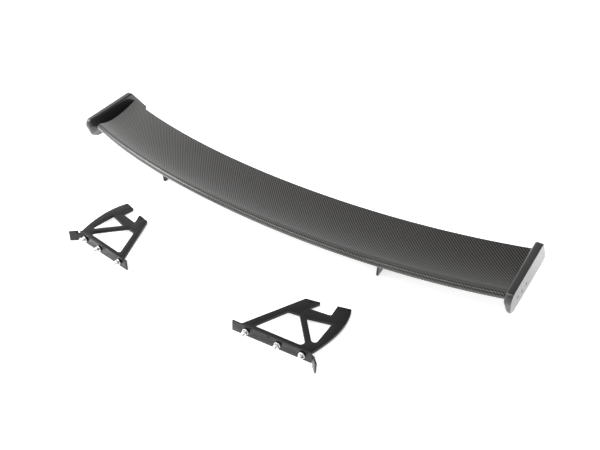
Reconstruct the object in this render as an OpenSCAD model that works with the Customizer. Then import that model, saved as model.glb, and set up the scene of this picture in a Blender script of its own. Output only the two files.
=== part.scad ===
// Racing rear wing kit laid out for storage: a carbon blade with end plates and two
// mounting fins that stand on the floor, and two aluminium uprights lying in front.
// X runs across the car, the nose of the blade faces -Y, Z is up, the floor is Z = 0.

/* [Blade] */
// Length of the blade between the end plates
blade_span = 1400; // [1200:10:1600]
// Trailing edge distance behind the nose reference line
blade_chord = 174.5; // [160:0.5:190]
// How far the tips sit behind the middle of the blade
tip_sweep = 87; // [0:1:120]
// How far the tips sit above the middle of the blade
tip_rise = 15; // [0:1:40]
// Height of the nose reference line above the floor at the middle
blade_height = 61; // [55:1:90]
// Radius of the rounded nose
nose_r = 10; // [8:0.5:12]
// Thickness of each carbon skin
skin_t = 1.6; // [1:0.1:2.5]
// Number of stations along the blade
stations = 32; // [16:2:48]

/* [End plates] */
// Thickness of an end plate at its front
plate_t = 9; // [6:0.5:12]
// Outward lean of an end plate below its top, as a slope
plate_lean = 0.09; // [0:0.01:0.12]
// Growth of the plate's thickness towards the rear, as a slope
plate_toe = 0.06; // [0:0.01:0.08]
// Height of the end plate's lower edge above the floor
plate_low = 42; // [30:1:46]

/* [Mounting fins] */
// Distance between the two mounting fins
fin_span = 760; // [600:10:900]
// Thickness of a mounting fin
fin_t = 5; // [4:0.5:8]
// Front edge of a fin behind the blade's nose line at the middle
fin_front = 57; // [50:1:70]
// Length of a fin along the chord
fin_len = 128; // [120:1:134]
// Width of the foot that the fin is fastened with
foot_w = 40; // [36:1:46]
// Thickness of the foot
foot_t = 4; // [3:0.5:5]
// Height of the front bolt hole above the fin's lower edge
fin_hole_z = 14; // [10:1:20]

/* [Uprights] */
// Plate thickness of an upright
upright_t = 8; // [6:0.5:10]
// Distance along the base between the horn holes, and between a fin's holes
hole_pitch = 90; // [86:1:92]
// How far the rear hole of each pair stands above the front one
hole_rise = 16.5; // [14:0.5:18]
// Radius of the bolt holes
bolt_hole_r = 2.75; // [2:0.05:3.5]
// Height of the front horn hole above the base
horn_hole_u = 153.5; // [146:0.5:154]

/* [Base flanges] */
// Width of the base flange
flange_w = 30; // [28:0.5:36]
// Thickness of the base flange
flange_t = 4; // [3:0.5:5]
// Length of the bent tab at the curved leg
tab_len = 30; // [20:1:40]
// Bend angle of the tab
tab_bend = 50; // [0:1:60]
// How far the right flange runs past its upright at the other end
right_ear = 22; // [8:1:26]
// How far the left flange runs past its upright at the other end
left_ear = 11; // [8:1:26]

/* [Studs and nuts] */
// Shank radius of a stud
stud_r = 4; // [3:0.5:5]
// How far a long stud stands out of the flange
stud_out = 20; // [18:1:30]
// Distance of the studs from the upright's outer face
stud_n = 14.5; // [14:0.5:18]

/* [Layout] */
// Turn of the right upright on the floor
right_yaw = 6.5; // [-10:0.5:10]
// Turn of the left upright on the floor
left_yaw = -4.2; // [-10:0.1:10]
// Shift of the whole kit that centres it over the origin
layout_y = -4.7; // [-10:0.1:10]

/* [Hidden] */

round_fn = 64;
gap = 0.1;
half_span = blade_span / 2;
screw_r = 2.5;
insert_r = 3.5;

// ---- blade section: x is distance behind the nose line, y is height above it ----

nose_c = [8, 7];
// Angles on the nose circle where the upper and lower curves leave it
nose_top_a = 67;
nose_low_a = 250;
split_a = 185;
edge_t = 3;
tail_top = [blade_chord, 28.4];
tail_low = [blade_chord, 28.4 - edge_t];

function on_nose(a, r) = nose_c + r * [cos(a), sin(a)];
upper_curve = [on_nose(nose_top_a, nose_r), [55, -3], [120, 3], tail_top];
lower_curve = [on_nose(nose_low_a, nose_r), [40, -15.2], [110, -12], tail_low];

function bezier(c, t) = pow(1 - t, 3) * c[0] + 3 * t * pow(1 - t, 2) * c[1]
    + 3 * t * t * (1 - t) * c[2] + pow(t, 3) * c[3];
function bezier_dir(c, t) = pow(1 - t, 2) * (c[1] - c[0])
    + 2 * t * (1 - t) * (c[2] - c[1]) + t * t * (c[3] - c[2]);
function unit(v) = v / norm(v);
function left_of(v) = [-v[1], v[0]];

curve_steps = 14;
nose_steps = 8;
// A stretch of the nose arc and a curve, moved inwards by d
function arc_run(a0, a1, d) =
    [for (i = [0 : nose_steps]) on_nose(a0 + (a1 - a0) * i / nose_steps, nose_r - d)];
function curve_run(c, d, t0, t1) = [for (i = [0 : curve_steps])
    let (t = t0 + (t1 - t0) * i / curve_steps)
    bezier(c, t) + d * left_of(unit(bezier_dir(c, t)))];
function backwards(p) = [for (i = [len(p) - 1 : -1 : 0]) p[i]];
function tail_of(p) = [for (i = [1 : len(p) - 1]) p[i]];

// Outer line of the upper half from the split line over the nose to the tail
function upper_line(d, t1) = concat(arc_run(split_a, nose_top_a, d),
    tail_of(curve_run(upper_curve, -d, 0, t1)));
function lower_line(d, t1) = concat(arc_run(split_a + 1, nose_low_a, d),
    tail_of(curve_run(lower_curve, d, 0, t1)));

upper_profile = concat(upper_line(0, 1), backwards(upper_line(skin_t, 0.985)));
lower_profile = concat(lower_line(skin_t - gap, 0.98), backwards(lower_line(0, 1)));

// Height of the cavity's roof and floor at distance u behind the nose line
roof_table = upper_line(skin_t + 0.2, 0.96);
floor_table = lower_line(skin_t + 0.2, 0.96);
function table_from(p, first) = [for (i = [first : len(p) - 1]) p[i]];
function roof(u) = lookup(u, table_from(roof_table, nose_steps));
function floor_w(u) = lookup(u, table_from(floor_table, nose_steps));
function underside(u) = lookup(u, table_from(lower_line(0, 1), nose_steps));
// Closed section that fills the cavity from u0 to u1, clear of the skins by inset
function filling(u0, u1, n, inset = 0) = concat(
    [for (i = [0 : n]) let (u = u0 + (u1 - u0) * i / n) [u, roof(u) - inset]],
    [for (i = [n : -1 : 0]) let (u = u0 + (u1 - u0) * i / n) [u, floor_w(u) + inset]]);

// ---- blade sweep ----

function sweep_y(x) = let (t = x / 700) tip_sweep * (0.77 * t * t + 0.23 * pow(t, 4));
function rise_z(x) = let (t = x / 700) tip_rise * (1.45 * t * t - 0.45 * pow(t, 4));
// The blade's ends are cut to the lean of the end plates
lean_ref = 100;
function swept(x, p) = let (y = p[0] + sweep_y(x), z = p[1] + rise_z(x) + blade_height)
    [x + plate_lean * (lean_ref - z) * x / half_span, y, z];

// The same section placed at one station, as a drawing of car Y and Z
function at_station(x, p) =
    [for (q = p) [q[0] + sweep_y(x), q[1] + rise_z(x) + blade_height]];

// A closed section carried along the blade from x0 to x1
module sweep_section(profile, x0, x1, n) {
    m = len(profile);
    points = [for (i = [0 : n]) for (p = profile) swept(x0 + (x1 - x0) * i / n, p)];
    sides = [for (i = [0 : n - 1]) for (j = [0 : m - 1])
        let (a = i * m + j, b = i * m + (j + 1) % m)
        each [[a, b, a + m], [b, b + m, a + m]]];
    near_cap = [[for (j = [m - 1 : -1 : 0]) j]];
    far_cap = [[for (j = [0 : m - 1]) n * m + j]];
    polyhedron(points = points, faces = concat(sides, near_cap, far_cap), convexity = 6);
}

// ---- outlines with rounded corners ----

// Each corner is [x, y, radius]
function corner_points(a, b, c, r) = r == 0 ? [b] :
    let (to_a = unit(a - b), to_c = unit(c - b),
        half = acos(to_a * to_c) / 2,
        centre = b + unit(to_a + to_c) * r / sin(half),
        run = r / tan(half),
        from = b + to_a * run - centre,
        to = b + to_c * run - centre,
        start = atan2(from[1], from[0]),
        turn = ((atan2(to[1], to[0]) - start + 540) % 360) - 180,
        n = max(2, ceil(abs(turn) / 12)))
    [for (i = [0 : n]) centre + r * [cos(start + turn * i / n), sin(start + turn * i / n)]];
function xy(p) = [p[0], p[1]];
function rounded(p) = let (n = len(p)) [for (i = [0 : n - 1])
    each corner_points(xy(p[(i + n - 1) % n]), xy(p[i]), xy(p[(i + 1) % n]), p[i][2])];

// Lays a drawing with x = car Y and y = car Z on the plane X = x0
module along_x(x0, length) {
    translate([x0, 0, 0]) rotate([90, 0, 90]) linear_extrude(length) children();
}

// ---- end plates ----

plate_outline = [[60, 121, 9], [51, 108, 10], [62, 66, 22], [84, plate_low, 16],
    [306, plate_low, 8], [317, 52, 7], [256, 134, 5]];
plate_screw_us = [16, 46, 76];
tip_y = sweep_y(half_span);
tip_z = rise_z(half_span) + blade_height;
function mid_w(u) = (roof(u) + floor_w(u)) / 2;
rib_t = 12;

// Slab between the leaning inner face and the toed outer face of the right plate
module right_plate_slab() {
    lean_a = atan(plate_lean);
    toe_a = atan(plate_toe);
    deep = 400;
    difference() {
        along_x(half_span - 20, 70) polygon(rounded(plate_outline));
        translate([half_span, 0, lean_ref]) rotate([0, -lean_a, 0])
            translate([-60, -deep, -deep]) cube([60, 2 * deep, 2 * deep]);
        translate([half_span + plate_t, 60, lean_ref]) rotate([0, -lean_a, 0])
            rotate([0, 0, -toe_a]) translate([0, -deep, -deep]) cube([100, 2 * deep, 2 * deep]);
    }
}

function screw_spot(u) = [tip_y + u, tip_z + mid_w(u)];
function outer_x(y, z) = half_span + plate_t + plate_lean * (lean_ref - z) + plate_toe * (y - 60);
head_r = 4.6;
head_h = 2.6;
// Depth of an end plate's screw heads below its outer face
head_sink = 0.4;

module at_plate_screws() {
    for (u = plate_screw_us) {
        spot = screw_spot(u);
        translate([outer_x(spot[0], spot[1]), spot[0], spot[1]]) rotate([0, -90, 0]) children();
    }
}

module countersunk_screw(length, grow = 0) {
    cylinder(r1 = head_r + grow, r2 = screw_r + grow, h = head_h, $fn = round_fn);
    cylinder(r = screw_r + grow, h = length, $fn = round_fn);
}

module countersunk_hole(length) {
    countersunk_screw(length, gap / 2);
    translate([0, 0, -5]) cylinder(r = head_r + gap / 2, h = 5, $fn = round_fn);
}

module right_end_plate() {
    difference() {
        right_plate_slab();
        at_plate_screws() translate([0, 0, head_sink]) countersunk_hole(40);
    }
}

module right_plate_screws() {
    at_plate_screws() translate([0, 0, head_sink]) countersunk_screw(24);
}

module right_plate_inserts() {
    difference() {
        for (u = plate_screw_us) {
            spot = screw_spot(u);
            translate([half_span - rib_t, spot[0], spot[1]]) rotate([0, 90, 0])
                cylinder(r = insert_r, h = rib_t - 1, $fn = round_fn);
        }
        at_plate_screws() cylinder(r = screw_r + gap / 2, h = 40, $fn = round_fn);
    }
}

// The rib is cut square, so it stays clear of the swept skins by rib_inset
rib_inset = 0.9;
module right_tip_rib() {
    middle = half_span - rib_t / 2;
    along_x(half_span - rib_t, rib_t - 0.5) difference() {
        polygon(at_station(middle, filling(12, 120, 10, rib_inset)));
        for (u = plate_screw_us) translate(screw_spot(u))
            circle(r = insert_r + gap / 2, $fn = round_fn);
    }
}

// ---- mounting fins ----

fin_x = fin_span / 2;
// Bond line between the foot, which is cut square, and the swept underside
foot_gap = 0.8;
foot_us = [44, 138];
// Length of the fin screws that stands below the foot
screw_drop = 3;
fin_screw_us = [52, 94];
fin_screw_x = 15;

function fin_base_u(y) = y - sweep_y(fin_x);
function fin_under(y) = blade_height + rise_z(fin_x) + underside(fin_base_u(y));

// Foot shaped to the underside of the blade
foot_steps = 8;
function foot_u(i) = foot_us[0] + (foot_us[1] - foot_us[0]) * i / foot_steps;
foot_profile = concat(
    [for (i = [0 : foot_steps]) [foot_u(i), underside(foot_u(i)) - foot_gap]],
    [for (i = [foot_steps : -1 : 0]) [foot_u(i), underside(foot_u(i)) - foot_gap - foot_t]]);

fin_hole_y = fin_front + 18;
fin_holes = [[fin_hole_y, fin_hole_z], [fin_hole_y + hole_pitch, fin_hole_z + hole_rise]];
fin_edge = [for (i = [0 : 10]) let (y = fin_front + fin_len * (1 - i / 10))
    [y, fin_under(y) - foot_gap - foot_t / 2]];

module fin_blade() {
    along_x(fin_x - fin_t / 2, fin_t) difference() {
        polygon(concat(rounded([[fin_front, fin_under(fin_front) - 6, 0], [fin_front, 0, 3],
            [fin_front + fin_len, 0, 6], [fin_front + fin_len, 30, 0]]), fin_edge));
        for (spot = fin_holes) translate(spot) circle(r = bolt_hole_r, $fn = round_fn);
    }
}

module at_fin_screws() {
    for (side = [-1, 1]) for (u = fin_screw_us) {
        y = u + sweep_y(fin_x);
        translate([fin_x + side * fin_screw_x, y, fin_under(y) - foot_gap - foot_t - screw_drop])
            children();
    }
}

module right_fin() {
    difference() {
        union() {
            fin_blade();
            along_x(fin_x - foot_w / 2, foot_w) polygon(at_station(fin_x, foot_profile));
        }
        at_fin_screws() translate([0, 0, -4]) cylinder(r = screw_r + 0.2, h = 30, $fn = round_fn);
    }
}

insert_h = 4.6;
insert_z = 10.3;
module right_fin_screws() {
    at_fin_screws() union() {
        translate([0, 0, -0.8]) cylinder(r = head_r, h = head_h, $fn = round_fn);
        cylinder(r = screw_r, h = insert_z + insert_h, $fn = round_fn);
    }
}

module right_fin_inserts() {
    at_fin_screws() translate([0, 0, insert_z]) difference() {
        cylinder(r = insert_r, h = insert_h, $fn = round_fn);
        translate([0, 0, -1]) cylinder(r = screw_r + gap / 2, h = insert_h + 2, $fn = round_fn);
    }
}

// ---- blade pieces ----

module upper_skin() {
    color([0.16, 0.16, 0.17]) sweep_section(upper_profile, -half_span, half_span, stations);
}

module lower_skin() {
    color([0.14, 0.14, 0.15]) difference() {
        sweep_section(lower_profile, -half_span, half_span, stations);
        at_fin_screws() cylinder(r = screw_r + 0.2, h = 16, $fn = round_fn);
        mirror([1, 0, 0]) at_fin_screws() cylinder(r = screw_r + 0.2, h = 16, $fn = round_fn);
    }
}

spar_us = [20, 34];
spar_end = half_span - rib_t - 3;
module main_spar() {
    color([0.2, 0.2, 0.22])
        sweep_section(filling(spar_us[0], spar_us[1], 2), -spar_end, spar_end, stations);
}

module trailing_edge_core() {
    color([0.75, 0.7, 0.5])
        sweep_section(filling(128, 156, 3), -half_span + 1, half_span - 1, stations);
}

// The fin ribs are cut square too, and stay clear of the skins by fin_rib_inset
fin_rib_t = 8;
fin_rib_inset = 0.25;
module fin_ribs() {
    color([0.2, 0.2, 0.22]) for (x = [-fin_x, fin_x])
        along_x(x - fin_rib_t / 2, fin_rib_t)
            polygon(at_station(x, filling(spar_us[1] + 2, 125, 8, fin_rib_inset)));
}

module both(side) {
    if (side > 0) children();
    else mirror([1, 0, 0]) children();
}

// ---- uprights: x runs along the base, y up the upright, z out of its outer face ----

base_half = 92.5;
horn_outline = [[-90.2, flange_t, 0], [0, 157, 3], [42, 163, 3], [20, 128, 2], [80, 132.5, 6],
    [80, 171.5, 2], [115, 178, 3]];
leg_curve = [[115, 178], [135, 107], [91, flange_t]];
function bow(c, t) = pow(1 - t, 2) * c[0] + 2 * t * (1 - t) * c[1] + t * t * c[2];
leg_steps = 14;
upright_outline = concat(
    [for (i = [0 : len(horn_outline) - 2])
        each corner_points(
            i == 0 ? [91, flange_t] : xy(horn_outline[i - 1]),
            xy(horn_outline[i]), xy(horn_outline[i + 1]), horn_outline[i][2])],
    corner_points([80, 171.5], [115, 178], [121, 150], 3),
    [for (i = [1 : leg_steps]) bow(leg_curve, i / leg_steps)]);
big_window = [[-64, 11.5, 5], [-16, 97, 8], [12, 99.5, 3], [73, 11.5, 10]];
small_window = [[31, 98, 3], [94, 111, 2], [86, 18, 8]];
horn_hole_b = 20;
horn_holes = [[horn_hole_b, horn_hole_u], [horn_hole_b + hole_pitch, horn_hole_u + hole_rise]];
base_screw_bs = [-66, -16, 82];
stud_bs = [-76, 8, 70];
// The flange screws end below the big window
flange_screw_len = 10;

module upright() {
    color([0.1, 0.1, 0.11]) difference() {
        translate([0, 0, -upright_t]) linear_extrude(upright_t) difference() {
            polygon(upright_outline);
            polygon(rounded(big_window));
            polygon(rounded(small_window));
            for (spot = horn_holes) translate(spot) circle(r = bolt_hole_r, $fn = round_fn);
        }
        at_base_screws() cylinder(r = screw_r + gap / 2, h = flange_screw_len + 0.6, $fn = round_fn);
    }
}

module at_base_screws() {
    for (b = base_screw_bs) translate([b, 0, -upright_t / 2]) rotate([-90, 0, 0]) children();
}

module at_stud(i) {
    translate([stud_bs[i], 0, -stud_n]) rotate([90, 0, 0]) children();
}

// The bent tab hangs on a narrower neck in the middle of the flange's width
neck_w = 16;
neck_run = 6.5;
module beside_neck() {
    cut_w = (flange_w - neck_w) / 2 + 1;
    for (n = [-flange_w - 1, 1 - cut_w])
        translate([base_half + 0.5, -tab_len, n]) cube([neck_run, tab_len + flange_t + 1, cut_w]);
}

module base_flange(ear) {
    bend = [cos(tab_bend), -sin(tab_bend)];
    corner = [base_half, 0];
    inner = corner + [flange_t * tan(tab_bend / 2), flange_t];
    tip = corner + tab_len * bend;
    side = flange_t * [sin(tab_bend), cos(tab_bend)];
    color([0.13, 0.13, 0.14]) difference() {
        translate([0, 0, -flange_w]) linear_extrude(flange_w)
            polygon([[-base_half - ear, 0], corner, tip, tip + side, inner,
                [-base_half - ear, flange_t]]);
        beside_neck();
        at_base_screws() countersunk_hole(20);
        for (i = [0 : 2]) at_stud(i) translate([0, 0, -10])
            cylinder(r = stud_r + gap / 2, h = 20, $fn = round_fn);
    }
}

module flange_screws() {
    color([0.08, 0.08, 0.08]) at_base_screws() countersunk_screw(flange_screw_len);
}

stud_head_r = 6;
stud_head_h = 2;
// A long stud has a relief groove past its nut, then a free end with a chamfered tip
relief_r = 3.6;
relief_at = 11.6;
relief_w = 0.8;
tip_h = 0.8;
short_stud = 11;
module stud_shank(reach) {
    translate([0, 0, -flange_t]) cylinder(r = stud_r, h = flange_t + reach, $fn = round_fn);
    translate([0, 0, -flange_t - stud_head_h])
        cylinder(r = stud_head_r, h = stud_head_h, $fn = round_fn);
}

module long_stud() {
    free = stud_out - relief_at - relief_w - tip_h;
    stud_shank(relief_at);
    translate([0, 0, relief_at]) cylinder(r = relief_r, h = relief_w, $fn = round_fn);
    translate([0, 0, relief_at + relief_w]) cylinder(r = stud_r, h = free, $fn = round_fn);
    translate([0, 0, stud_out - tip_h])
        cylinder(r1 = stud_r, r2 = stud_r - tip_h, h = tip_h, $fn = round_fn);
}

module studs() {
    color([0.8, 0.8, 0.8]) {
        at_stud(0) long_stud();
        at_stud(1) long_stud();
        at_stud(2) stud_shank(short_stud);
    }
}

washer_r = 8;
washer_h = 3;
module washers() {
    color([0.05, 0.05, 0.05]) for (i = [0 : 2]) at_stud(i) difference() {
        cylinder(r = washer_r, h = washer_h, $fn = round_fn);
        translate([0, 0, -1]) cylinder(r = stud_r + 0.2, h = washer_h + 2, $fn = round_fn);
    }
}

nut_af = 13;
nut_h = 8;
nut_gap = 0.2;
module hex_nut(i) {
    color([0.85, 0.85, 0.85]) at_stud(i) translate([0, 0, washer_h + nut_gap]) difference() {
        union() {
            cylinder(r = nut_af / 2 / cos(30), h = nut_h, $fn = 6);
            cylinder(r = 8, h = 1.5, $fn = round_fn);
        }
        translate([0, 0, -1]) cylinder(r = stud_r + gap, h = nut_h + 2, $fn = round_fn);
    }
}

cap_r = 7.6;
cap_h = 12;
module cap_nut() {
    color([0.85, 0.85, 0.85]) at_stud(2) translate([0, 0, washer_h + nut_gap]) difference() {
        rotate_extrude($fn = round_fn) polygon(concat([[0, 0], [8.4, 0], [8.4, 1.8], [cap_r, 2.2]],
            [for (a = [0 : 10 : 90]) [cap_r * cos(a), cap_h - cap_r + cap_r * sin(a)]]));
        translate([0, 0, -1]) cylinder(r = stud_r + gap, h = 9.6, $fn = round_fn);
    }
}

// ---- laying the uprights on the floor ----

lay_tilt = atan((flange_w - upright_t) / (178 - flange_t));
right_spot = [291.4, -276.7];
left_spot = [-281.7, -281.3];

module lay_down() {
    rotate([-lay_tilt, 0, 0]) translate([0, 0, flange_w]) children();
}

module place(side) {
    lift = flange_t * sin(lay_tilt);
    if (side > 0) translate([right_spot[0], right_spot[1] + layout_y, lift])
        rotate([0, 0, right_yaw]) lay_down() children();
    else translate([left_spot[0], left_spot[1] + layout_y, lift])
        rotate([0, 0, left_yaw]) mirror([1, 0, 0]) lay_down() children();
}

module kit() {
    translate([0, layout_y, 0]) children();
}

module end_plate(side) {
    color([0.15, 0.15, 0.16]) kit() both(side) right_end_plate();
}

module black_screws(side) {
    color([0.06, 0.06, 0.06]) kit() both(side) children();
}

module brass_inserts(side) {
    color([0.7, 0.6, 0.3]) kit() both(side) children();
}

kit() upper_skin();
kit() lower_skin();
kit() main_spar();
kit() trailing_edge_core();
kit() fin_ribs();
brass_inserts(-1) right_tip_rib();  // tip_rib_left
brass_inserts(1) right_tip_rib();  // tip_rib_right
end_plate(-1);  // end_plate_left
end_plate(1);  // end_plate_right
brass_inserts(-1) right_plate_inserts();  // end_plate_inserts_left
brass_inserts(1) right_plate_inserts();  // end_plate_inserts_right
black_screws(-1) right_plate_screws();  // end_plate_screws_left
black_screws(1) right_plate_screws();  // end_plate_screws_right
black_screws(-1) right_fin();  // mounting_fin_left
black_screws(1) right_fin();  // mounting_fin_right
brass_inserts(-1) right_fin_inserts();  // fin_inserts_left
brass_inserts(1) right_fin_inserts();  // fin_inserts_right
black_screws(-1) right_fin_screws();  // fin_screws_left
black_screws(1) right_fin_screws();  // fin_screws_right
place(-1) upright();  // upright_left
place(1) upright();  // upright_right
place(-1) base_flange(left_ear);  // base_flange_left
place(1) base_flange(right_ear);  // base_flange_right
place(-1) flange_screws();  // flange_screws_left
place(1) flange_screws();  // flange_screws_right
place(-1) studs();  // studs_left
place(1) studs();  // studs_right
place(-1) washers();  // washers_left
place(1) washers();  // washers_right
place(-1) hex_nut(0);  // outer_nut_left
place(-1) hex_nut(1);  // middle_nut_left
place(-1) cap_nut();  // cap_nut_left
place(1) hex_nut(0);  // outer_nut_right
place(1) hex_nut(1);  // middle_nut_right
place(1) cap_nut();  // cap_nut_right
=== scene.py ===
"""Looks for the racing rear wing kit: carbon blade, end plates, fins and two loose uprights.

Sizes are in millimetres, and MM turns them into the frame's metres. X runs across the car, the
blade's nose faces -Y and the floor is Z = 0.
"""

import math

import bmesh
import bpy
from mathutils import Matrix, Vector

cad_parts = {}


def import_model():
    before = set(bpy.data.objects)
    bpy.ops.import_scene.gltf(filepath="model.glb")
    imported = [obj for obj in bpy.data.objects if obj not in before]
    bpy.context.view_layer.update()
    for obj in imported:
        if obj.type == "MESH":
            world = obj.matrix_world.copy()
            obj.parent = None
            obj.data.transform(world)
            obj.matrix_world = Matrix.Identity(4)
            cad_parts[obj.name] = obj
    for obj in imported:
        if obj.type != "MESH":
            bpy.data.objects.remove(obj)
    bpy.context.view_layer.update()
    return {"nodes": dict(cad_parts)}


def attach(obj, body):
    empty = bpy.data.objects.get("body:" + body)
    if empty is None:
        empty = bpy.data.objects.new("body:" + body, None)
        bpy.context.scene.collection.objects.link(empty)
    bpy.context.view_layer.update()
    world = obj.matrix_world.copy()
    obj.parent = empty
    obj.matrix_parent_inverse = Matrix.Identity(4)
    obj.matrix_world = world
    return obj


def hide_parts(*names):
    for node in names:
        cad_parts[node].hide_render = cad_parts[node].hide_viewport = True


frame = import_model()
nodes = frame["nodes"]

MM = 0.001
SIDES = {"left": -1, "right": 1}

# ---------------------------------------------------------------- the design's own sizes
LAYOUT_Y = -4.7  # shift of the whole kit that centres it over the origin

# the blade, whose section is drawn as (distance behind the nose line, height above it)
HALF_SPAN = 700
TIP_SWEEP = 87
TIP_RISE = 15
SWEEP_SQUARE = 0.77  # share of the sweep that grows with the square, the rest with the fourth power
RISE_SQUARE = 1.45  # the same for the rise
BLADE_HEIGHT = 61
NOSE_CENTRE = (8, 7)
NOSE_R = 10
NOSE_TOP_ANGLE = 67
NOSE_LOW_ANGLE = 250
SPLIT_ANGLE = 185
SPLIT_GAP = 1  # in degrees, between the two skins at the nose
SKIN_T = 1.6
SKIN_GAP = 0.1
UPPER_REACH = 0.985  # where a skin's inner line stops, as a share of its curve
LOWER_REACH = 0.98
TAIL_X = 174.5
TAIL_TOP = 28.4
EDGE_T = 3
TAIL_ROUND = 1.1
TAIL_ROUND_MOST = 0.8  # the rounding's largest share of the tail's edge
NOSE_STEPS = 16
CURVE_STEPS = 44
STATIONS = 150

# end plates, as seen from the side: (y, z) before the layout shift
PLATE_T = 9
PLATE_FRONT = 60
PLATE_TOE = 0.06  # growth of the thickness behind PLATE_FRONT, as a slope
PLATE_LEAN = 0.09  # outward lean below LEAN_REF, as a slope
LEAN_REF = 100
PLATE_LOW = 42  # height of the lower edge
# corners as (y, z, corner radius)
PLATE_OUTLINE = [(58, 121.5, 14), (50, 100, 22), (64, 56, 26), (90, 42, 14), (306, 42, 8),
                 (317, 52, 7), (256, 134, 13)]
PLATE_MIDDLE = (180, 85)
CORNER_STEPS = 10
# the moulded inner face: it swells by FLARE at the upper front and is THIN thinner at the lower
FLARE = 9
THIN = 4.5
FLARE_FROM = 110
FLARE_RUN = 110
FLARE_RISE = 45
RIM_IN_R = 6
RIM_IN_MOST = 0.6  # the inner rim's largest share of the plate's thickness
RIM_IN_STEPS = 8
RIM_OUT_R = 1.8
RIM_OUT_STEPS = 5
RIM_MARGIN = 1.2
SLICES = (0.9, 0.75, 0.6, 0.45, 0.3, 0.15)  # rings of the inner face, as shares of its size

# uprights and base flanges, and where they lie: (turn in degrees, (x, y))
FLANGE_W = 30
FLANGE_T = 4
UPRIGHT_T = 8
UPRIGHT_H = 178
LAY_TILT = math.atan((FLANGE_W - UPRIGHT_T) / (UPRIGHT_H - FLANGE_T))
STANDS = {"left": (-4.2, (-281.7, -281.3)), "right": (6.5, (291.4, -276.7))}

# studs: places along the base, distance from the upright's face, then the stud's own sizes
STUD_BS = (-76, 8, 70)
LONG_STUDS = 2  # the first two are long, and the third ends inside its cap nut
STUD_N = -14.5
STUD_R = 4
STUD_HEAD_R = 6
STUD_HEAD_H = 2
STUD_OUT = 20
SHORT_STUD = 11
STUD_TIP = 0.8
RELIEF_R = 3.6
RELIEF_AT = 11.6
RELIEF_W = 0.8
THREAD_PITCH = 1.25
THREAD_DEPTH = 0.45
THREAD_START = 0.5
RINGS_PER_TURN = 8
CREST_WIDTH = 1.25  # above 1 the thread's crest is flat

# nuts
NUT_SEAT = 3.2
NUT_AF = 13
NUT_H = 8
NUT_STEPS = 72
COLLAR_R = 8
COLLAR_H = 1.6
CHAMFER_R = 6.35
CHAMFER_SLOPE = 1.9
CAP_H = 12
CAP_COLLAR_R = 8.4
CAP_COLLAR_H = 1.8
DOME_R = 6.3
DOME_STEPS = 12
BORE_R = STUD_R + 0.1
BORE_END = 8.3
POINT_R = 0.05  # stands for a closed centre

# screws
HEAD_R = 4.6
HEAD_H = 2.6
SCREW_R = 2.5
COUNTERSUNK_SOCKET = (3, 1.6)  # across flats, depth
CAP_SOCKET = (4, 1.5)
SCREW_TIP = 0.5
BASE_SCREW_BS = (-66, -16, 82)
FLANGE_SCREW_LEN = 10
PLATE_SCREW_US = (16, 46, 76)
PLATE_SCREW_LEN = 24
HEAD_SINK = 0.4
HEAD_EDGE = 0.15
CAP_HEAD_EDGE = 0.4
# a screw hole in an end plate, from before its outer face to beyond its inner one
HOLE_SLACK = 0.05
HOLE_START = -5
HOLE_DEPTH = 40
# the two lines that the end plate screws lie midway between: distance inside the skins, length
CORE_SLACK = 0.2
CORE_REACH = 0.96

# fins and their screws
FIN_X = 380
FIN_SCREW_US = (52, 94)
FIN_SCREW_X = 15
FIN_SCREW_LEN = 14.9
FOOT_GAP = 0.8
FOOT_T = 4
REFERENCE_DROP = 3  # from the foot's underside down to a fin screw's reference point
FIN_SCREW_DROP = FOOT_GAP + FOOT_T + REFERENCE_DROP
HEAD_OUT = 0.8  # from the reference point down to the head's face

# ---------------------------------------------------------------- materials
WHITE = (1.0, 1.0, 1.0)
WARM = (1.0, 0.965, 0.91)
COOL = (0.98, 0.99, 1.0)
WEAVE_UV = "weave"
TOW = 0.002  # width of a carbon tow, in metres
ROUND_ACROSS = 0.55  # shares of a tow's height that come from its rounding across and along
ROUND_ALONG = 0.45


class Tree:
    """A small helper that builds a node tree."""

    def __init__(self, tree):
        self.tree = tree

    def add(self, kind, inputs=None, **settings):
        node = self.tree.nodes.new(kind)
        for key, value in settings.items():
            setattr(node, key, value)
        for key, value in (inputs or {}).items():
            self.feed(value, node.inputs[key])
        return node

    def feed(self, value, socket):
        if isinstance(value, bpy.types.NodeSocket):
            self.tree.links.new(value, socket)
        else:
            socket.default_value = value

    def math(self, op, a, b=0.0, c=0.0):
        return self.add("ShaderNodeMath", {0: a, 1: b, 2: c}, operation=op).outputs[0]


class Nodes(Tree):
    """A material and its node tree."""

    def __init__(self, name):
        self.mat = bpy.data.materials.new(name)
        self.mat.use_nodes = True
        super().__init__(self.mat.node_tree)
        self.bsdf = self.tree.nodes["Principled BSDF"]

    def mix(self, share, a, b):
        node = self.add("ShaderNodeMix", {0: share}, data_type="RGBA")
        self.feed(a, node.inputs[6])
        self.feed(b, node.inputs[7])
        return node.outputs[2]

    def spread(self, value, low, high):
        """value from 0..1 to low..high"""
        return self.math("MULTIPLY_ADD", value, high - low, low)

    def noise(self, vector, scale, detail=3.0):
        node = self.add("ShaderNodeTexNoise", {"Vector": vector, "Scale": scale, "Detail": detail})
        return node.outputs["Fac"]

    def bump(self, height, distance, strength, normal=None):
        node = self.add("ShaderNodeBump", {"Height": height, "Distance": distance,
                                           "Strength": strength})
        if normal is not None:
            self.feed(normal, node.inputs["Normal"])
        return node.outputs["Normal"]

    def surface(self, **inputs):
        for key, value in inputs.items():
            self.feed(value, self.bsdf.inputs[key.replace("_", " ")])
        return self.mat

    def object_place(self):
        return self.add("ShaderNodeTexCoord").outputs["Object"]

    def stretched(self, vector, scale):
        return self.add("ShaderNodeMapping", {"Vector": vector, "Scale": scale}).outputs["Vector"]

    def streaks(self, vector, scales):
        """Noise drawn out along the axis with the smallest scale"""
        return self.noise(self.stretched(vector, scales), scale=1.0, detail=2.0)


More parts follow.
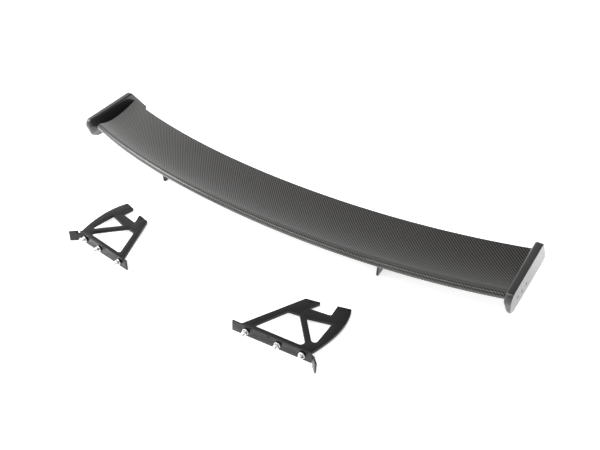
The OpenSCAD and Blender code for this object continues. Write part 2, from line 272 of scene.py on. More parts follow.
def grey(v, tint=WHITE):
    return (v * tint[0], v * tint[1], v * tint[2], 1.0)


def shaken(n, uv):
    """The weave's coordinates, with the tows' slight unevenness"""
    wobble = n.add("ShaderNodeTexNoise", {"Vector": uv, "Scale": 9.0, "Detail": 2.0})
    shift = n.add("ShaderNodeVectorMath", {0: wobble.outputs["Color"], 1: (0.5, 0.5, 0.5)},
                  operation="SUBTRACT").outputs[0]
    shift = n.add("ShaderNodeVectorMath", {0: shift, "Scale": TOW * 0.6},
                  operation="SCALE").outputs[0]
    return n.add("ShaderNodeVectorMath", {0: uv, 1: shift}, operation="ADD").outputs[0]


def tow_height(n, across, along, second_half):
    """Height on a tow from 0 to 1: rounded across it, and along its float of two cells"""
    def dome(t):
        return n.math("MULTIPLY", n.math("MULTIPLY", t, n.math("SUBTRACT", 1.0, t)), 4.0)

    on_float = n.math("MULTIPLY", n.math("ADD", along, second_half), 0.5)
    return n.math("ADD", n.math("MULTIPLY", dome(across), ROUND_ACROSS),
                  n.math("MULTIPLY", dome(on_float), ROUND_ALONG))


def carbon_weave(name):
    """Clear-coated 2x2 twill: each tow goes over two and under two, one step further each row."""
    n = Nodes(name)
    place = shaken(n, n.add("ShaderNodeUVMap", uv_map=WEAVE_UV).outputs["UV"])
    xyz = n.add("ShaderNodeSeparateXYZ", {0: place})
    across = n.math("DIVIDE", xyz.outputs[0], TOW)
    along = n.math("DIVIDE", xyz.outputs[1], TOW)
    step = n.math("FLOORED_MODULO",
                  n.math("ADD", n.math("FLOOR", across), n.math("FLOOR", along)), 4.0)
    warp_up = n.math("LESS_THAN", step, 1.5)
    u = n.math("FRACT", across)
    v = n.math("FRACT", along)
    warp_height = tow_height(n, u, v, n.math("COMPARE", step, 1.0, 0.5))
    weft_height = tow_height(n, v, u, n.math("COMPARE", step, 3.0, 0.5))
    height = n.add("ShaderNodeMix", {0: warp_up, 2: weft_height, 3: warp_height}).outputs[0]

    along_fibre, across_fibre = 260.0, 9000.0
    warp_fibre = n.streaks(place, (across_fibre, along_fibre, 1.0))
    weft_fibre = n.streaks(place, (along_fibre, across_fibre, 1.0))
    fibre = n.add("ShaderNodeMix", {0: warp_up, 2: weft_fibre, 3: warp_fibre}).outputs[0]

    # painted sheen: warp tows are painted much lighter than weft tows, and every tow lighter on its
    # rounded crown than at its sides, in place of the light the fibres catch
    warp_painted_sheen = n.mix(height, grey(0.011, WARM), grey(0.13, WARM))
    weft_painted_sheen = n.mix(height, grey(0.007, WARM), grey(0.028, WARM))
    colour = n.mix(warp_up, weft_painted_sheen, warp_painted_sheen)
    colour = n.mix(n.spread(fibre, 0.0, 0.35), colour, grey(0.006))
    blotch = n.noise(n.object_place(), scale=7.0)
    rough = n.math("ADD", n.spread(fibre, 0.30, 0.42), n.spread(blotch, -0.04, 0.04))
    normal = n.bump(height, distance=TOW * 0.10, strength=0.45)
    normal = n.bump(fibre, distance=TOW * 0.02, strength=0.25, normal=normal)
    orange_peel = n.bump(n.noise(n.object_place(), scale=60.0, detail=1.0),
                         distance=0.0004, strength=0.04)
    return n.surface(Base_Color=colour, Roughness=rough, Normal=normal, Coat_Weight=1.0,
                     Coat_Roughness=0.07, Coat_IOR=1.5, Coat_Normal=orange_peel,
                     Specular_IOR_Level=0.2)


def gloss_black(name, base, roughness, coat):
    """Smooth black lacquer with a faint waviness"""
    n = Nodes(name)
    place = n.object_place()
    cloud = n.noise(place, scale=14.0)
    fine = n.noise(place, scale=900.0, detail=2.0)
    colour = n.mix(cloud, grey(base * 0.75), grey(base * 1.3, (1.0, 0.99, 0.97)))
    rough = n.math("ADD", n.spread(cloud, roughness - 0.03, roughness + 0.04),
                   n.spread(fine, -0.02, 0.02))
    waves = n.noise(place, scale=45.0, detail=1.0)
    normal = n.bump(waves, distance=0.0006, strength=0.06)
    return n.surface(Base_Color=colour, Roughness=rough, Normal=normal,
                     Coat_Weight=coat, Coat_Roughness=0.15)


def satin_black(name, base, roughness, specular):
    """Anodised aluminium: fine bead-blasted grain, soft cloudy tone, faint handling marks"""
    n = Nodes(name)
    place = n.object_place()
    cloud = n.noise(place, scale=22.0)
    grain = n.noise(place, scale=2600.0, detail=2.0)
    brushed = n.streaks(place, (30.0, 1400.0, 1400.0))
    colour = n.mix(cloud, grey(base * 0.8), grey(base * 1.25))
    colour = n.mix(n.spread(grain, 0.0, 0.5), colour, grey(base * 1.7, (1.0, 1.0, 0.97)))
    rough = n.math("ADD", n.spread(brushed, roughness - 0.06, roughness + 0.06),
                   n.spread(grain, -0.05, 0.05))
    normal = n.bump(grain, distance=0.00005, strength=0.35)
    return n.surface(Base_Color=colour, Roughness=rough, Normal=normal,
                     Specular_IOR_Level=specular)


def zinc_steel(name):
    """Bright zinc plating with fine scratches"""
    n = Nodes(name)
    place = n.object_place()
    cloud = n.noise(place, scale=160.0)
    scratch = n.streaks(place, (400.0, 2600.0, 2600.0))
    colour = n.mix(cloud, grey(0.93, COOL), grey(0.99))
    rough = n.math("ADD", n.spread(cloud, 0.4, 0.5), n.spread(scratch, -0.06, 0.06))
    normal = n.bump(scratch, distance=0.00004, strength=0.3)
    return n.surface(Base_Color=colour, Roughness=rough, Normal=normal, Metallic=1.0)


def matt(name, base, roughness, grain_scale=1800.0, tint=WHITE, metallic=0.0):
    """A plain grained surface"""
    n = Nodes(name)
    place = n.object_place()
    cloud = n.noise(place, scale=60.0)
    grain = n.noise(place, scale=grain_scale, detail=2.0)
    colour = n.mix(cloud, grey(base * 0.8, tint), grey(base * 1.2, tint))
    colour = n.mix(n.spread(grain, 0.0, 0.3), colour, grey(base * 0.5, tint))
    rough = n.spread(grain, roughness - 0.08, roughness + 0.08)
    normal = n.bump(grain, distance=0.0001, strength=0.4)
    return n.surface(Base_Color=colour, Roughness=rough, Normal=normal, Metallic=metallic)


carbon = carbon_weave("carbon_twill")
plate_black = gloss_black("carbon_plate_gloss", base=0.028, roughness=0.32, coat=0.6)
anodised = satin_black("black_anodised", base=0.009, roughness=0.36, specular=0.3)
flange_black = satin_black("flange_black_anodised", base=0.014, roughness=0.24, specular=0.42)
fin_black = satin_black("fin_black_anodised", base=0.012, roughness=0.3, specular=0.5)
zinc = zinc_steel("zinc_steel")
rubber = matt("washer_rubber", base=0.012, roughness=0.72)
black_steel = matt("black_oxide_steel", base=0.03, roughness=0.38, grain_scale=2400.0,
                   metallic=0.6)
brass = matt("insert_brass", base=0.55, roughness=0.35, grain_scale=1200.0,
             tint=(1.0, 0.72, 0.3), metallic=1.0)
core = matt("bonded_core", base=0.5, roughness=0.8, grain_scale=500.0, tint=(1.0, 0.9, 0.68))


# ---------------------------------------------------------------- mesh helpers
MERGE_DISTANCE = 2e-6
COPLANAR_DEG = 0.6
BEVEL_FROM_DEG = 20
BEVEL_SEGMENTS = 2
BEVEL_PROFILE = 0.6
# the angle above which an edge shows as sharp
REFINED_SHARP_DEG = 35
TURNED_SHARP_DEG = 30
SKIN_SHARP_DEG = 40
PLATE_SHARP_DEG = 50


def bridge(first, second, n):
    """Faces between two rings of n vertices that start at these two indices"""
    return [(first + i, first + (i + 1) % n, second + (i + 1) % n, second + i) for i in range(n)]


def ring_face(first, n):
    return tuple(range(first, first + n))


def moved(x, y, z):
    """A move given in millimetres"""
    return Matrix.Translation(Vector((x, y, z)) * MM)


def face_outwards(mesh):
    bm = bmesh.new()
    bm.from_mesh(mesh)
    bmesh.ops.recalc_face_normals(bm, faces=bm.faces)
    bm.to_mesh(mesh)
    bm.free()


def add_to_scene(name, data):
    obj = bpy.data.objects.new(name, data)
    bpy.context.scene.collection.objects.link(obj)
    return obj


def make_object(name, verts, faces, material, body, smooth_deg, replaced, uvs=None):
    """A mesh piece in metres that rides on a body. uvs is one (u, v) per vertex."""
    mesh = bpy.data.meshes.new(name)
    mesh.from_pydata([tuple(v) for v in verts], [], faces)
    if uvs:
        layer = mesh.uv_layers.new(name=WEAVE_UV)
        for loop in mesh.loops:
            layer.data[loop.index].uv = uvs[loop.vertex_index]
    return finish_object(name, mesh, material, body, smooth_deg, replaced)


def finish_object(name, mesh, material, body, smooth_deg, replaced):
    mesh.validate()
    face_outwards(mesh)
    mesh.shade_smooth()
    mesh.set_sharp_from_angle(angle=math.radians(smooth_deg))
    mesh.materials.append(material)
    obj = add_to_scene(name, mesh)
    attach(obj, body)
    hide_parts(*replaced)
    return obj


def refined(node, name, material, body, width):
    """A CAD node's own shape with its coplanar triangles merged and its sharp edges rounded."""
    mesh = nodes[node].data.copy()
    mesh.name = name
    mesh.materials.clear()
    bm = bmesh.new()
    bm.from_mesh(mesh)
    bmesh.ops.remove_doubles(bm, verts=bm.verts, dist=MERGE_DISTANCE)
    bmesh.ops.dissolve_limit(bm, angle_limit=math.radians(COPLANAR_DEG),
                             verts=bm.verts, edges=bm.edges)
    bmesh.ops.recalc_face_normals(bm, faces=bm.faces)
    sharp = [e for e in bm.edges if len(e.link_faces) == 2
             and e.calc_face_angle(0) > math.radians(BEVEL_FROM_DEG)]
    bmesh.ops.bevel(bm, geom=sharp, offset=width * MM, offset_type="OFFSET",
                    segments=BEVEL_SEGMENTS, profile=BEVEL_PROFILE, affect="EDGES", clamp_overlap=True)
    bmesh.ops.triangulate(bm, faces=[f for f in bm.faces if len(f.verts) > 4])
    bm.to_mesh(mesh)
    bm.free()
    if "custom_normal" in mesh.attributes:
        mesh.attributes.remove(mesh.attributes["custom_normal"])
    return finish_object(name, mesh, material, body, REFINED_SHARP_DEG, (node,))


class Turned:
    """Turned and hexagonal shapes gathered into one mesh. A ring is (height, radius), and the
    radius may be a function of the angle and the height."""

    def __init__(self):
        self.verts, self.faces = [], []

    def add(self, rings, place, steps=48, closed=False):
        base = len(self.verts)
        for z, radius in rings:
            for i in range(steps):
                a = 2 * math.pi * i / steps
                r = radius(a, z) if callable(radius) else radius
                self.verts.append(place @ (Vector((r * math.cos(a), r * math.sin(a), z)) * MM))
        last = len(rings) if closed else len(rings) - 1
        for k in range(last):
            self.faces += bridge(base + k * steps, base + (k + 1) % len(rings) * steps, steps)
        if not closed:
            self.faces.append(ring_face(base, steps))
            self.faces.append(ring_face(base + (len(rings) - 1) * steps, steps))

    def make(self, name, material, body, node, slot):
        return make_object(name, self.verts, self.faces, material, body, TURNED_SHARP_DEG,
                           (node,))


def hexagon(across_flats, limit=None):
    """Radius of a hexagon at each angle, kept below limit(z) where its ends are chamfered"""
    def radius(a, z):
        r = across_flats / 2 / math.cos(a % (math.pi / 3) - math.pi / 6)
        return min(r, limit(z)) if limit else r
    return radius


def thread(hand, crest, root):
    """Radius of a single-start thread at each angle and height"""
    def radius(a, z):
        turn = (z / THREAD_PITCH - hand * a / (2 * math.pi)) % 1
        ridge = min(1, CREST_WIDTH * (1 - abs(2 * turn - 1)))
        return root + (crest - root) * ridge
    return radius


def thread_rings(z0, z1, profile):
    count = max(2, round((z1 - z0) / THREAD_PITCH * RINGS_PER_TURN))
    return [(z0 + (z1 - z0) * i / count, profile) for i in range(count + 1)]


# ---------------------------------------------------------------- the blade
def bezier(c, t):
    w = ((1 - t) ** 3, 3 * t * (1 - t) ** 2, 3 * t * t * (1 - t), t ** 3)
    return tuple(sum(w[i] * c[i][k] for i in range(4)) for k in (0, 1))


def bezier_normal(c, t):
    """Unit normal on the left of the curve's direction"""
    d = [sum(f * (c[i + 1][k] - c[i][k]) for i, f in
             enumerate(((1 - t) ** 2, 2 * t * (1 - t), t * t))) for k in (0, 1)]
    length = math.hypot(*d)
    return (-d[1] / length, d[0] / length)


def on_nose(angle, r):
    a = math.radians(angle)
    return (NOSE_CENTRE[0] + r * math.cos(a), NOSE_CENTRE[1] + r * math.sin(a))


UPPER = [on_nose(NOSE_TOP_ANGLE, NOSE_R), (55, -3), (120, 3), (TAIL_X, TAIL_TOP)]
LOWER = [on_nose(NOSE_LOW_ANGLE, NOSE_R), (40, -15.2), (110, -12), (TAIL_X, TAIL_TOP - EDGE_T)]


def half_line(curve, a0, a1, inset, t_end, side):
    """The nose arc and then the curve, moved inwards by inset"""
    points = [on_nose(a0 + (a1 - a0) * i / NOSE_STEPS, NOSE_R - inset)
              for i in range(NOSE_STEPS + 1)]
    for i in range(1, CURVE_STEPS + 1):
        t = t_end * i / CURVE_STEPS
        p, q = bezier(curve, t), bezier_normal(curve, t)
        points.append((p[0] + side * inset * q[0], p[1] + side * inset * q[1]))
    return points


def upper_line(inset, t_end):
    return half_line(UPPER, SPLIT_ANGLE, NOSE_TOP_ANGLE, inset, t_end, -1)


def lower_line(inset, t_end):
    return half_line(LOWER, SPLIT_ANGLE + SPLIT_GAP, NOSE_LOW_ANGLE, inset, t_end, 1)


def height_at(line, u):
    """Height of a section line u behind the nose line, past its nose arc"""
    for a, b in zip(line[NOSE_STEPS:], line[NOSE_STEPS + 1:]):
        if a[0] <= u <= b[0]:
            return a[1] + (b[1] - a[1]) * (u - a[0]) / (b[0] - a[0])
    return line[-1][1]


def along_span(x, square_share):
    """0 at the middle and 1 at the tips, by a square and a fourth power"""
    t = x / HALF_SPAN
    return square_share * t * t + (1 - square_share) * t ** 4


def sweep_y(x):
    return TIP_SWEEP * along_span(x, SWEEP_SQUARE)


def rise_z(x):
    return TIP_RISE * along_span(x, RISE_SQUARE)


def swept(x, p):
    """A section point at station x. The stations lean outwards with the end plates."""
    y = p[0] + sweep_y(x)
    z = p[1] + rise_z(x) + BLADE_HEIGHT
    return Vector((x + PLATE_LEAN * (LEAN_REF - z) * x / HALF_SPAN, y + LAYOUT_Y, z)) * MM


def rounded_tail(outer, inner, r):
    """Cuts the corner between an outer line's end and its inner line's end with a small arc"""
    end, before, turn = Vector(outer[-1]), Vector(outer[-2]), Vector(inner[-1])
    a = end + (before - end).normalized() * r
    b = end + (turn - end).normalized() * min(r, (turn - end).length * TAIL_ROUND_MOST)
    arc = [a.lerp(end, s).lerp(end.lerp(b, s), s) for s in (0, 0.25, 0.5, 0.75, 1)]
    return outer[:-1] + [tuple(p) for p in arc] + inner[::-1]


def blade_half(name, profile, node):
    """One skin: its closed section carried along the span. v is the length round the section."""
    m = len(profile)
    length = [0.0]
    for a, b in zip(profile, profile[1:]):
        length.append(length[-1] + math.dist(a, b))
    verts, uvs, faces = [], [], []
    for i in range(STATIONS + 1):
        x = -HALF_SPAN + 2 * HALF_SPAN * i / STATIONS
        for j, p in enumerate(profile):
            verts.append(swept(x, p))
            uvs.append((x * MM, length[j] * MM))
    for i in range(STATIONS):
        faces += bridge(i * m, (i + 1) * m, m)
    faces += [ring_face(0, m), ring_face(STATIONS * m, m)]
    return make_object(name, verts, faces, carbon, "wing", SKIN_SHARP_DEG, (node,),
                       uvs)


def blade():
    top = rounded_tail(upper_line(0, 1), upper_line(SKIN_T, UPPER_REACH), TAIL_ROUND)
    low = rounded_tail(lower_line(0, 1), lower_line(SKIN_T - SKIN_GAP, LOWER_REACH), TAIL_ROUND)
    blade_half("blade_upper_skin", top, "upper_skin")
    blade_half("blade_lower_skin", low, "lower_skin")


# ---------------------------------------------------------------- end plates
def corner_arc(a, b, c, r):
    """The arc of radius r that rounds the corner b between its neighbours a and c"""
    a, b, c = Vector(a[:2]), Vector(b[:2]), Vector(c[:2])
    to_a, to_c = (a - b).normalized(), (c - b).normalized()
    half = math.acos(max(-1, min(1, to_a.dot(to_c)))) / 2
    centre = b + (to_a + to_c).normalized() * (r / math.sin(half))
    run = r / math.tan(half)
    start, end = b + to_a * run - centre, b + to_c * run - centre
    a0 = math.atan2(start.y, start.x)
    turn = (math.atan2(end.y, end.x) - a0 + 3 * math.pi) % (2 * math.pi) - math.pi
    angles = [a0 + turn * i / CORNER_STEPS for i in range(CORNER_STEPS + 1)]
    return [centre + Vector((math.cos(angle), math.sin(angle))) * r for angle in angles]


def rounded(outline):
    n = len(outline)
    return [p for i in range(n) for p in
            corner_arc(outline[i - 1], outline[i], outline[(i + 1) % n], outline[i][2])]


def ease(t):
    t = max(0.0, min(1.0, t))
    return t * t * (3 - 2 * t)


def plate_inner_x(y, z):
    """The inner face leans. Its front swells inwards at the top and thins at the bottom."""
    front = 1 - ease((y - FLARE_FROM) / FLARE_RUN)
    up = ease((z - PLATE_LOW) / FLARE_RISE)
    return HALF_SPAN + PLATE_LEAN * (LEAN_REF - z) - front * (FLARE * up - THIN * (1 - up))


def plate_outer_x(y, z):
    return HALF_SPAN + PLATE_LEAN * (LEAN_REF - z) + PLATE_T + PLATE_TOE * (y - PLATE_FRONT)


def plate_point(side, x, p):
    """A vertex at the distance x from the middle, over the point p = (y, z) of the side view"""
    return Vector((side * x, p.x + LAYOUT_Y, p.y)) * MM


def inset_loop(points, d):
    """The closed outline moved inwards by d, whichever way round it runs"""
    n = len(points)
    area = sum(points[i - 1].x * points[i].y - points[i].x * points[i - 1].y for i in range(n))
    sign = 1 if area > 0 else -1
    out = []
    for i in range(n):
        t = (points[(i + 1) % n] - points[i - 1]).normalized()
        out.append(points[i] + Vector((-t.y, t.x)) * sign * d)
    return out


def rim(outline, radius, steps):
    """The loops that round an edge off, from the face out to the outline, each with its depth
    below the face as a share of the rounding's"""
    angles = [math.pi / 2 * k / steps for k in range(steps + 1)]
    return [(inset_loop(outline, radius * (1 - math.sin(a))), 1 - math.cos(a)) for a in angles]


def plate_shell(side):
    """Vertices and faces of an end plate, from the inner rim over the outline to the outer face
    and then over the inner face"""
    outline = rounded(PLATE_OUTLINE)
    n = len(outline)
    inner_rim = rim(outline, RIM_IN_R, RIM_IN_STEPS)
    verts, faces = [], []
    for loop, share in inner_rim:
        for p in loop:
            inner, outer = plate_inner_x(p.x, p.y), plate_outer_x(p.x, p.y)
            depth = share * min(RIM_IN_R, RIM_IN_MOST * (outer - inner))
            verts.append(plate_point(side, inner + depth, p))
    for loop, share in reversed(rim(outline, RIM_OUT_R, RIM_OUT_STEPS)):
        verts += [plate_point(side, plate_outer_x(p.x, p.y) - share * RIM_OUT_R, p) for p in loop]
    # one more ring keeps the rim's soft shading off the flat outer face
    flat = inset_loop(outline, RIM_OUT_R + RIM_MARGIN)
    verts += [plate_point(side, plate_outer_x(p.x, p.y), p) for p in flat]
    for first in range(0, len(verts) - n, n):
        faces += bridge(first, first + n, n)
    faces.append(ring_face(len(verts) - n, n))
    # the swollen inner face is rings that close in on the plate's middle
    previous = 0
    for share in SLICES:
        first = len(verts)
        ring = [Vector(PLATE_MIDDLE).lerp(p, share) for p in inner_rim[0][0]]
        verts += [plate_point(side, plate_inner_x(q.x, q.y), q) for q in ring]
        faces += bridge(previous, first, n)
        previous = first
    faces.append(ring_face(previous, n))
    return verts, faces


def plate_screw_place(side, u):
    """On the outer face over a screw, z into the plate"""
    roof = upper_line(SKIN_T + CORE_SLACK, CORE_REACH)
    low = lower_line(SKIN_T + CORE_SLACK, CORE_REACH)
    y = u + sweep_y(HALF_SPAN)
    z = (height_at(roof, u) + height_at(low, u)) / 2 + rise_z(HALF_SPAN) + BLADE_HEIGHT
    mirror = Matrix.Scale(side, 4, (1, 0, 0))
    inwards = Matrix.Rotation(-math.pi / 2, 4, "Y")
    return mirror @ moved(plate_outer_x(y, z), y + LAYOUT_Y, z) @ inwards


def cut(obj, cutter):
    """Takes the cutter's shape out of the piece, then removes the cutter"""
    change = obj.modifiers.new("cut", "BOOLEAN")
    change.operation = "DIFFERENCE"
    change.solver = "EXACT"
    change.object = cutter
    depsgraph = bpy.context.evaluated_depsgraph_get()
    mesh = bpy.data.meshes.new_from_object(obj.evaluated_get(depsgraph))
    mesh.set_sharp_from_angle(angle=math.radians(TURNED_SHARP_DEG))
    obj.modifiers.clear()
    obj.data = mesh
    bpy.data.objects.remove(cutter)


def end_plate(side_name):
    side = SIDES[side_name]
    verts, faces = plate_shell(side)
    plate = make_object(f"end_plate_shell_{side_name}", verts, faces, plate_black, "wing",
                        PLATE_SHARP_DEG, (f"end_plate_{side_name}",))
    # the blade's clear coat doesn't mirror the plates
    plate.visible_glossy = False
    holes, screws = Turned(), Turned()
    head, shank = HEAD_R + HOLE_SLACK, SCREW_R + HOLE_SLACK
    for u in PLATE_SCREW_US:
        place = plate_screw_place(side, u) @ moved(0, 0, HEAD_SINK)
        holes.add([(HOLE_START, head), (0, head), (HEAD_H, shank), (HOLE_DEPTH, shank)], place)
        countersunk(screws, place, PLATE_SCREW_LEN)
    cutter = bpy.data.meshes.new("cutter")
    cutter.from_pydata([tuple(v) for v in holes.verts], [], holes.faces)
    face_outwards(cutter)
    cut(plate, add_to_scene("cutter", cutter))
    screws.make(f"end_plate_screw_set_{side_name}", black_steel, "wing",
                f"end_plate_screws_{side_name}", "black_steel")


# ---------------------------------------------------------------- uprights, flanges and fasteners
def stand_matrix(side_name):
    """From an upright's own frame (b along the base, u up it, n out of its face) to the row frame"""
    yaw, spot = STANDS[side_name]
    m = moved(spot[0], spot[1] + LAYOUT_Y, FLANGE_T * math.sin(LAY_TILT))
    m = m @ Matrix.Rotation(math.radians(yaw), 4, "Z")
    if side_name == "left":
        m = m @ Matrix.Scale(-1, 4, (1, 0, 0))
    return m @ Matrix.Rotation(-LAY_TILT, 4, "X") @ moved(0, 0, FLANGE_W)


def stud_matrix(side_name, i):
    """Origin on the flange's outer face, z out along the stud"""
    place = moved(STUD_BS[i], 0, STUD_N) @ Matrix.Rotation(math.pi / 2, 4, "X")
    return stand_matrix(side_name) @ place


def nut_matrix(side_name, i):
    return stud_matrix(side_name, i) @ moved(0, 0, NUT_SEAT)


def socket_rings(socket):
    """The blind hexagonal socket in a screw's head, from its floor up to the head's face"""
    across_flats, depth = socket
    return [(depth, POINT_R), (depth, hexagon(across_flats)), (0, hexagon(across_flats))]


def shank_rings(start, length):
    """A screw's plain shank with its chamfered tip"""
    return [(start, SCREW_R), (length - SCREW_TIP, SCREW_R), (length, SCREW_R - SCREW_TIP)]


def countersunk(shape, place, length):
    rings = socket_rings(COUNTERSUNK_SOCKET) + [(0, HEAD_R - HEAD_EDGE), (HEAD_EDGE, HEAD_R)]
    shape.add(rings + shank_rings(HEAD_H, length), place)


def cap_screw(shape, place, length):
    rings = [(z - HEAD_OUT, radius) for z, radius in socket_rings(CAP_SOCKET)]
    rings += [(-HEAD_OUT, HEAD_R - CAP_HEAD_EDGE), (CAP_HEAD_EDGE - HEAD_OUT, HEAD_R),
              (HEAD_H - HEAD_OUT, HEAD_R)]
    shape.add(rings + shank_rings(HEAD_H - HEAD_OUT, length), place)


def stud_rings(is_long, profile):
    """A stud from its head under the flange to its tip"""
    foot, seat = -FLANGE_T - STUD_HEAD_H, -FLANGE_T
    foot_edge, seat_edge = 0.5, 0.3
    rings = [(foot, STUD_HEAD_R - foot_edge), (foot + foot_edge, STUD_HEAD_R),
             (seat - seat_edge, STUD_HEAD_R), (seat, STUD_HEAD_R - seat_edge),
             (seat, STUD_R), (0, STUD_R)]
    out = STUD_OUT if is_long else SHORT_STUD
    start = THREAD_START
    if is_long:
        groove, relief_end = RELIEF_R - 0.25, RELIEF_AT + RELIEF_W
        rings += thread_rings(start, RELIEF_AT, profile)
        rings += [(RELIEF_AT + 0.1, groove), (relief_end - 0.1, groove)]
        start = relief_end
    rings += thread_rings(start, out - STUD_TIP, profile)
    return rings + [(out - 0.1, STUD_R - STUD_TIP - 0.1), (out, STUD_R - STUD_TIP - 0.6)]


def studs(side_name):
    profile = thread(SIDES[side_name], STUD_R, STUD_R - THREAD_DEPTH)
    shape = Turned()
    for i in range(len(STUD_BS)):
        shape.add(stud_rings(i < LONG_STUDS, profile), stud_matrix(side_name, i), 40)
    shape.make(f"stud_set_{side_name}", zinc, f"stand_{side_name}", f"studs_{side_name}",
               "zinc_steel")


def make_nut(name, node, rings, place):
    shape = Turned()
    shape.add(rings, place, NUT_STEPS, closed=True)
    shape.make(name, zinc, f"{node}_spin_body", node, "zinc_steel")


def collar_nut(side_name, i, which):
    """Hexagon nut with a pressed collar and a chamfered top"""
    flats = hexagon(NUT_AF)
    corners = hexagon(NUT_AF, lambda z: CHAMFER_R + (NUT_H - z) * CHAMFER_SLOPE)
    rings = [(0.25, BORE_R), (0, BORE_R + 0.5), (0, COLLAR_R - 0.5), (0.25, COLLAR_R - 0.05),
             (0.9, COLLAR_R), (1.3, COLLAR_R - 0.2), (COLLAR_H, flats), (5.5, flats)]
    rings += [(z, corners) for z in (7.2, 7.5, 7.8, NUT_H)]
    rings += [(NUT_H, BORE_R + 0.6), (NUT_H - 0.6, BORE_R)]
    make_nut(f"{which}_hex_nut_{side_name}", f"{which}_nut_{side_name}", rings,
             nut_matrix(side_name, i))


def dome_nut(side_name):
    """Acorn nut: collar, short hexagon, then a dome that closes over the stud's end"""
    flats = hexagon(NUT_AF)
    spring = CAP_H - DOME_R
    rings = [(0.25, BORE_R), (0, BORE_R + 0.5), (0, CAP_COLLAR_R - 0.5),
             (0.3, CAP_COLLAR_R - 0.05), (1.0, CAP_COLLAR_R), (1.5, CAP_COLLAR_R - 0.3),
             (CAP_COLLAR_H, flats), (spring - 0.9, flats),
             (spring - 0.3, hexagon(NUT_AF, lambda z: 7.0)),
             (spring, hexagon(NUT_AF, lambda z: 6.5))]
    for k in range(1, DOME_STEPS):
        a = math.pi / 2 * k / DOME_STEPS
        rings.append((spring + DOME_R * math.sin(a), DOME_R * math.cos(a)))
    rings += [(CAP_H, POINT_R), (BORE_END + 0.9, POINT_R), (BORE_END + 0.3, BORE_R - 0.3),
              (BORE_END, BORE_R)]
    make_nut(f"dome_nut_{side_name}", f"cap_nut_{side_name}", rings, nut_matrix(side_name, 2))


def flange_screws(side_name):
    shape = Turned()
    upwards = Matrix.Rotation(-math.pi / 2, 4, "X")
    for b in BASE_SCREW_BS:
        place = stand_matrix(side_name) @ moved(b, 0, -UPRIGHT_T / 2) @ upwards
        countersunk(shape, place, FLANGE_SCREW_LEN)
    shape.make(f"flange_screw_set_{side_name}", black_steel, f"stand_{side_name}",
               f"flange_screws_{side_name}", "black_steel")


def stand(side_name):
    studs(side_name)
    collar_nut(side_name, 0, "outer")
    collar_nut(side_name, 1, "middle")
    dome_nut(side_name)
    flange_screws(side_name)
    for node, name, material, width, slot in (
            ("upright", "upright_plate", anodised, 0.5, "black_aluminium"),
            ("base_flange", "flange_plate", flange_black, 0.45, "black_aluminium"),
            ("washers", "sealing_washers", rubber, 0.5, "black_rubber")):
        refined(f"{node}_{side_name}", f"{name}_{side_name}", material, f"stand_{side_name}",
                width)


def fin_screws(side_name):
    side = SIDES[side_name]
    underside = lower_line(0, 1)
    shape = Turned()
    for across in (-FIN_SCREW_X, FIN_SCREW_X):
        for u in FIN_SCREW_US:
            z = height_at(underside, u) + rise_z(FIN_X) + BLADE_HEIGHT - FIN_SCREW_DROP
            place = moved(side * (FIN_X + across), u + sweep_y(FIN_X) + LAYOUT_Y, z)
            cap_screw(shape, place, FIN_SCREW_LEN)
    shape.make(f"fin_screw_set_{side_name}", black_steel, "wing", f"fin_screws_{side_name}",
               "black_steel")


def fin(side_name):
    fin_screws(side_name)
    refined(f"mounting_fin_{side_name}", f"fin_plate_{side_name}", fin_black, "wing", 0.5)


def carried():
    """Materials for the CAD nodes that are shown as they are"""
    for name, node in nodes.items():
        material = brass if "inserts" in name else core
        node.data.materials.clear()
        node.data.materials.append(material)


# ---------------------------------------------------------------- floor, light and camera
FLOOR_HALF = 30  # in metres
SKY = ((0.47, 0.8), (0.7, 0.75))  # (height, grey) between the ends of the world's ramp
SKY_LOW = 0.8
SKY_HIGH = 0.4
SKY_MIDDLE = 0.6  # strength over the middle, and its change towards the right
SKY_FALL = -0.9
SKY_LEAST = 0.3
BACKDROP_LIFT = 1.5

# name: (place, target, size, watts)
LIGHTS = {
    "key": ((-1.3, -1.9, 2.6), (0, 0, 0), (1.4, 0.8), 8),
    "nose_strip": ((-1.6, -1.5, 2.6), (-0.3, 0, 0), (4.6, 0.3), 31),
    "nose_right": ((0.55, -1.0, 2.6), (0.6, 0, 0), (1.6, 0.35), 14),
    "left_side": ((-2.2, -0.9, 1.4), (-0.3, 0, 0), (1.2, 1.2), 27),
}
CAMERA_PLACE = (0.7706, -0.8978, 1.0308)
CAMERA_PITCH = 49.65
CAMERA_YAW = 33.58
CAMERA_LENS = 33.02
CAMERA_SENSOR = 36


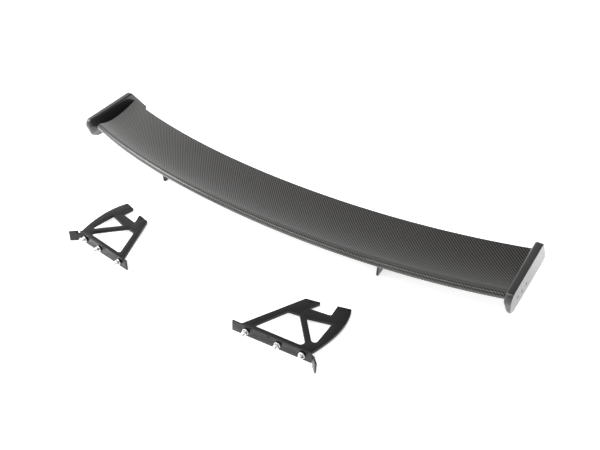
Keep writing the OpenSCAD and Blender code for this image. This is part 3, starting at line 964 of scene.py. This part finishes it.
def floor():
    """A white studio floor, which glows a little so that it reads as pure white"""
    corners = [(-1, -1), (1, -1), (1, 1), (-1, 1)]
    mesh = bpy.data.meshes.new("floor")
    mesh.from_pydata([(x * FLOOR_HALF, y * FLOOR_HALF, 0) for x, y in corners], [],
                     [(0, 1, 2, 3)])
    n = Nodes("floor_white")
    cloud = n.noise(n.object_place(), scale=1.5)
    mesh.materials.append(n.surface(Base_Color=n.mix(cloud, grey(0.90), grey(0.93)),
                                    Roughness=n.spread(cloud, 0.75, 0.85),
                                    Emission_Color=grey(1.0), Emission_Strength=0.72))
    obj = add_to_scene("floor", mesh)


def world():
    """A sky that is brighter on the left, and white where the camera sees it"""
    w = bpy.data.worlds.new("studio")
    bpy.context.scene.world = w
    w.use_nodes = True
    n = Tree(w.node_tree)
    place = n.add("ShaderNodeTexCoord").outputs["Generated"]
    xyz = n.add("ShaderNodeSeparateXYZ", {0: place}).outputs
    ramp = n.add("ShaderNodeValToRGB", {0: xyz[2]})
    stops = ramp.color_ramp.elements
    stops[0].color = grey(SKY_LOW)
    stops[1].color = grey(SKY_HIGH)
    for position, value in SKY:
        stops.new(position).color = grey(value)
    fade = n.math("MULTIPLY_ADD", xyz[0], SKY_FALL, SKY_MIDDLE)
    strength = n.math("MAXIMUM", fade, SKY_LEAST)
    seen = n.add("ShaderNodeLightPath").outputs["Is Camera Ray"]
    back = n.tree.nodes["Background"].inputs
    n.feed(ramp.outputs[0], back[0])
    n.feed(n.math("MULTIPLY_ADD", seen, BACKDROP_LIFT, strength), back[1])


def area_light(name, spot, target, size, power):
    data = bpy.data.lights.new(name, "AREA")
    data.shape = "RECTANGLE"
    data.size, data.size_y = size
    data.energy = power
    obj = add_to_scene(name, data)
    obj.location = spot
    obj.rotation_euler = (Vector(target) - Vector(spot)).to_track_quat("-Z", "Y").to_euler()


def camera():
    data = bpy.data.cameras.new("camera")
    data.lens = CAMERA_LENS
    data.sensor_width = CAMERA_SENSOR
    data.clip_start = 0.01
    obj = add_to_scene("camera", data)
    obj.location = CAMERA_PLACE
    obj.rotation_euler = (math.radians(CAMERA_PITCH), 0, math.radians(CAMERA_YAW))
    bpy.context.scene.camera = obj


blade()
carried()
for side in SIDES:
    end_plate(side)
    fin(side)
    stand(side)
floor()
world()
for name, values in LIGHTS.items():
    area_light(name, *values)
camera()
bpy.context.scene.view_settings.view_transform = "Standard"
